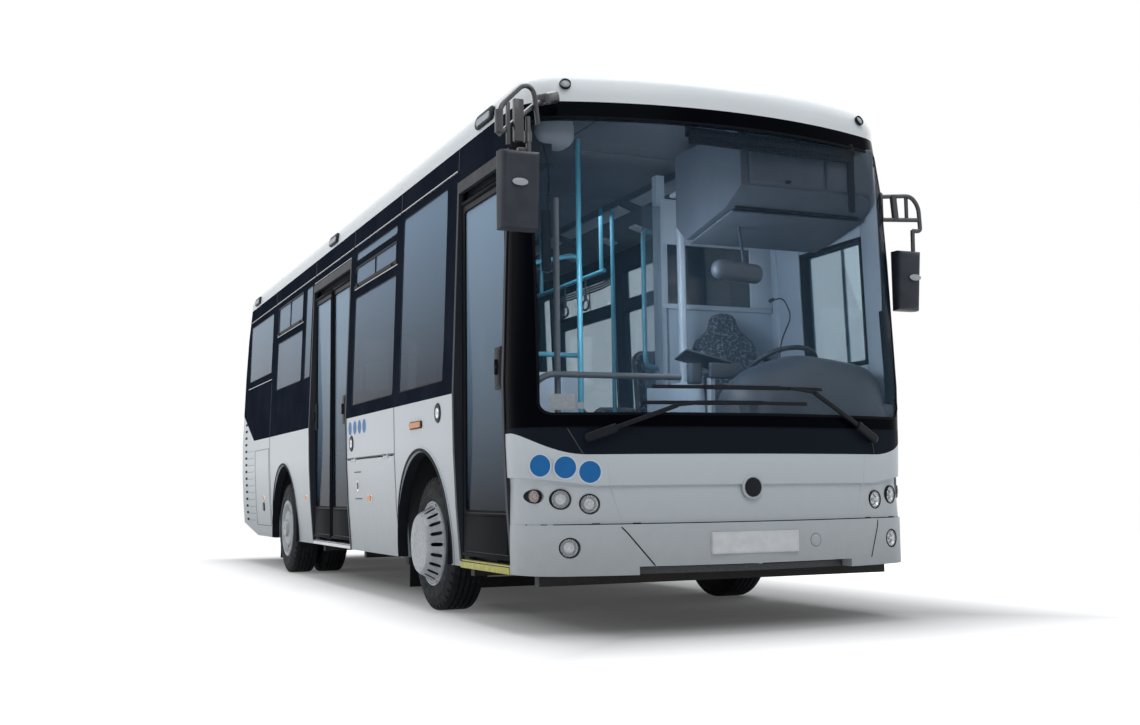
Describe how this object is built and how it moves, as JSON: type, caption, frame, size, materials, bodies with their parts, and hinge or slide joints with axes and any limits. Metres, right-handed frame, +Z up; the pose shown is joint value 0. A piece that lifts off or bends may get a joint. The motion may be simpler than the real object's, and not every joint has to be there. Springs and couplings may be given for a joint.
{
  "type": "low-entry city bus",
  "caption": "Single-deck low-entry city bus with a curved windscreen, bonded dark side glazing, inward gliding doors, steered front wheels and twin rear wheels.",
  "frame": {"origin": "on the ground, under the middle of the whole bus", "axes": "+Z up, -Y is the driving direction, the doors are on -X"},
  "size_m": [2.7878, 9.32, 3.0049],
  "materials": {
    "white_paint": "gloss",
    "black_band": "gloss",
    "glass": "clear",
    "grey_paint": "satin",
    "frame_steel": "matte",
    "floor_vinyl": "matte",
    "tyre_rubber": "matte",
    "rim_silver": "satin",
    "black_plastic": "matte",
    "lamp_lens": "gloss",
    "seat_fabric": "woven",
    "rail_blue": "satin",
    "lining_grey": "matte",
    "flap_rubber": "matte",
    "plate_white": "satin"
  },
  "bodies": {
    "body": {"cab_partition": "lining_grey", "chassis_frame": "frame_steel", "dashboard": "black_plastic", "door_portals": "grey_paint", "driver_seat": "seat_fabric", "engine_block": "frame_steel", "floor_front": "floor_vinyl", "floor_rear": "floor_vinyl", "front_axle": "frame_steel", "front_bumper": "white_paint", "front_lamps": "lamp_lens", "front_mask": "white_paint", "handrails": "rail_blue", "marker_lamps": "lamp_lens", "mirrors": "black_plastic", "mud_flaps": "flap_rubber", "overhead_console": "lining_grey", "plate_holders": "plate_white", "rear_axle": "frame_steel", "rear_band": "black_band", "rear_panel": "white_paint", "rear_window": "glass", "roof_shell": "white_paint", "seats_left": "seat_fabric", "seats_rear": "seat_fabric", "seats_right": "seat_fabric", "skirt_left": "white_paint", "skirt_right": "white_paint", "steering_wheel": "black_plastic", "wheel_boxes": "floor_vinyl", "window_band_left": "black_band", "window_band_right": "black_band", "windows_left": "glass", "windows_right": "glass", "windscreen": "glass", "windscreen_surround": "black_band", "wipers": "black_plastic"},
    "steering_knuckle_right": {"knuckle_right": "frame_steel"},
    "front_wheel_right": {"front_tyre_right": "tyre_rubber", "front_rim_right": "rim_silver"},
    "rear_wheels_right": {"rear_tyres_right": "tyre_rubber", "rear_rims_right": "rim_silver"},
    "steering_knuckle_left": {"knuckle_left": "frame_steel"},
    "front_wheel_left": {"front_tyre_left": "tyre_rubber", "front_rim_left": "rim_silver"},
    "rear_wheels_left": {"rear_tyres_left": "tyre_rubber", "rear_rims_left": "rim_silver"},
    "door_arm_front": {"door_post_front": "grey_paint"},
    "door_front": {"door_leaf_front": "grey_paint", "door_glass_front": "glass"},
    "door_arm_middle_fore": {"door_post_middle_fore": "grey_paint"},
    "door_middle_fore": {"door_leaf_middle_fore": "grey_paint", "door_glass_middle_fore": "glass"},
    "door_arm_middle_aft": {"door_post_middle_aft": "grey_paint"},
    "door_middle_aft": {"door_leaf_middle_aft": "grey_paint", "door_glass_middle_aft": "glass"},
    "engine_lid": {"engine_hatch": "white_paint"},
    "service_lid": {"service_flap": "white_paint"}
  },
  "joints": [
    {"name": "steer_right", "type": "hinge", "parent": "body", "child": "steering_knuckle_right", "pos_m": [-0.9115, -2.52, 0.416], "axis": [0, 0, 1], "range_deg": [-38, 38]},
    {"name": "front_wheel_spin_right", "type": "hinge", "parent": "steering_knuckle_right", "child": "front_wheel_right", "pos_m": [-1, -2.52, 0.416], "axis": [1, 0, 0], "continuous": true},
    {"name": "rear_wheel_spin_right", "type": "hinge", "parent": "body", "child": "rear_wheels_right", "pos_m": [-0.9, 1.97, 0.416], "axis": [1, 0, 0], "continuous": true},
    {"name": "steer_left", "type": "hinge", "parent": "body", "child": "steering_knuckle_left", "pos_m": [0.9115, -2.52, 0.416], "axis": [0, 0, 1], "range_deg": [-38, 38]},
    {"name": "front_wheel_spin_left", "type": "hinge", "parent": "steering_knuckle_left", "child": "front_wheel_left", "pos_m": [1, -2.52, 0.416], "axis": [1, 0, 0], "continuous": true},
    {"name": "rear_wheel_spin_left", "type": "hinge", "parent": "body", "child": "rear_wheels_left", "pos_m": [0.9, 1.97, 0.416], "axis": [1, 0, 0], "continuous": true},
    {"name": "door_post_turn_front", "type": "hinge", "parent": "body", "child": "door_arm_front", "pos_m": [-1.065, -3.195, 1.4], "axis": [0, 0, 1], "range_deg": [0, 80]},
    {"name": "door_leaf_turn_front", "type": "hinge", "parent": "door_arm_front", "child": "door_front", "pos_m": [-1.065, -3.61, 1.4], "axis": [0, 0, 1], "range_deg": [-160, 0]},
    {"name": "door_post_turn_middle_fore", "type": "hinge", "parent": "body", "child": "door_arm_middle_fore", "pos_m": [-1.065, -0.585, 1.4], "axis": [0, 0, -1], "range_deg": [0, 80]},
    {"name": "door_leaf_turn_middle_fore", "type": "hinge", "parent": "door_arm_middle_fore", "child": "door_middle_fore", "pos_m": [-1.065, -0.24, 1.4], "axis": [0, 0, -1], "range_deg": [-160, 0]},
    {"name": "door_post_turn_middle_aft", "type": "hinge", "parent": "body", "child": "door_arm_middle_aft", "pos_m": [-1.065, 0.805, 1.4], "axis": [0, 0, 1], "range_deg": [0, 80]},
    {"name": "door_leaf_turn_middle_aft", "type": "hinge", "parent": "door_arm_middle_aft", "child": "door_middle_aft", "pos_m": [-1.065, 0.46, 1.4], "axis": [0, 0, 1], "range_deg": [-160, 0]},
    {"name": "engine_lid_lift", "type": "hinge", "parent": "body", "child": "engine_lid", "pos_m": [0, 4.63, 1.118], "axis": [1, 0, 0], "range_deg": [0, 75]},
    {"name": "service_lid_lift", "type": "hinge", "parent": "body", "child": "service_lid", "pos_m": [-1.19, -1.25, 0.983], "axis": [0, 1, 0], "range_deg": [0, 75]}
  ],
  "couplings": [
    {"joint": "steer_right", "follows": "steer_left", "ratio": 1},
    {"joint": "door_leaf_turn_front", "follows": "door_post_turn_front", "ratio": -2},
    {"joint": "door_leaf_turn_middle_fore", "follows": "door_post_turn_middle_fore", "ratio": -2},
    {"joint": "door_leaf_turn_middle_aft", "follows": "door_post_turn_middle_aft", "ratio": -2}
  ]
}
